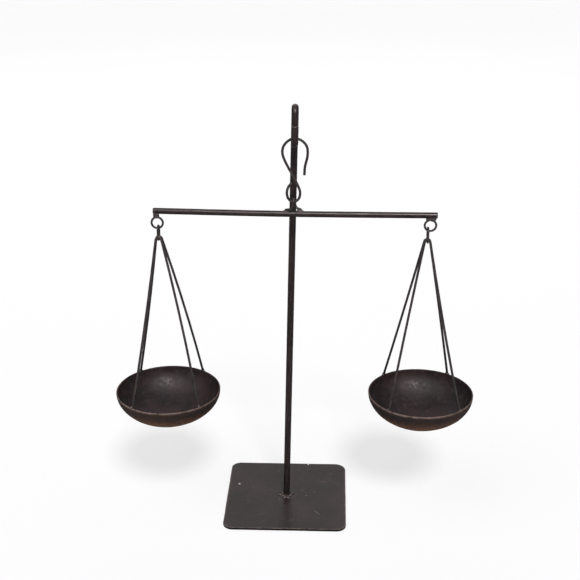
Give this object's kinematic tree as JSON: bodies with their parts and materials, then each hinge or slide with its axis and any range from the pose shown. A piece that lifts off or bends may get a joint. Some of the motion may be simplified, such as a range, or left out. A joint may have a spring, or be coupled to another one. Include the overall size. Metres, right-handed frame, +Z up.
{
  "type": "bench scale",
  "caption": "Rustic iron balance: two round pans on wire bails hang from a rod beam, hooked on a crooked post that stands on a square plate.",
  "frame": {"origin": "centre of the square base plate's underside", "axes": "+Z up along the post, X along the beam, -Y towards the side that the beam hangs on"},
  "size_m": [0.4322, 0.1611, 0.5145],
  "materials": {
    "iron_plate": "satin dark grey-brown patina with fine scratches and weld spatter",
    "iron_rod": "satin blackened iron with a faint brown tone",
    "black_wire": "satin blackened wire",
    "pan_iron": "blackened sheet iron, browner underneath, worn at the rim",
    "weld_bead": "lumpy, slightly glossy weld metal under the same finish"
  },
  "bodies": {
    "stand": {"base_plate": "iron_plate", "post": "iron_rod", "post_foot_weld": "weld_bead"},
    "hanger": {"hanger_hook": "black_wire"},
    "beam": {"beam_rod": "iron_rod", "beam_eye": "black_wire", "left_eye_weld": "weld_bead", "right_eye_weld": "weld_bead", "left_ring": "black_wire", "left_ring_weld": "weld_bead", "right_ring": "black_wire", "right_ring_weld": "weld_bead"},
    "left_link": {"left_link": "black_wire"},
    "left_pan": {"left_pan_bowl": "pan_iron", "left_front_bail": "black_wire", "left_back_bail": "black_wire", "left_pan_front_left_weld": "weld_bead", "left_pan_front_right_weld": "weld_bead", "left_pan_back_left_weld": "weld_bead", "left_pan_back_right_weld": "weld_bead"},
    "right_link": {"right_link": "black_wire"},
    "right_pan": {"right_pan_bowl": "pan_iron", "right_front_bail": "black_wire", "right_back_bail": "black_wire", "right_pan_front_left_weld": "weld_bead", "right_pan_front_right_weld": "weld_bead", "right_pan_back_left_weld": "weld_bead", "right_pan_back_right_weld": "weld_bead"}
  },
  "joints": [
    {"name": "hook_swing", "type": "hinge", "parent": "stand", "child": "hanger", "pos_m": [0.01171, -0.022, 0.4788], "axis": [1, 0, 0], "range_deg": [-20, 8.5]},
    {"name": "beam_tilt", "type": "hinge", "parent": "hanger", "child": "beam", "pos_m": [0.0103, -0.022, 0.4089], "axis": [0, 1, 0], "range_deg": [-25, 25]},
    {"name": "left_link_swing", "type": "hinge", "parent": "beam", "child": "left_link", "pos_m": [-0.1458, -0.022, 0.3791], "axis": [0, 1, 0], "range_deg": [-25, 25]},
    {"name": "left_pan_swing", "type": "hinge", "parent": "left_link", "child": "left_pan", "pos_m": [-0.1449, -0.022, 0.3586], "axis": [0, 1, 0], "range_deg": [-15, 15]},
    {"name": "right_link_swing", "type": "hinge", "parent": "beam", "child": "right_link", "pos_m": [0.1659, -0.022, 0.3789], "axis": [0, 1, 0], "range_deg": [-25, 25]},
    {"name": "right_pan_swing", "type": "hinge", "parent": "right_link", "child": "right_pan", "pos_m": [0.1634, -0.022, 0.3586], "axis": [0, 1, 0], "range_deg": [-15, 15]}
  ],
  "couplings": [
    {"joint": "left_link_swing", "follows": "beam_tilt", "ratio": -1},
    {"joint": "right_link_swing", "follows": "beam_tilt", "ratio": -1}
  ]
}
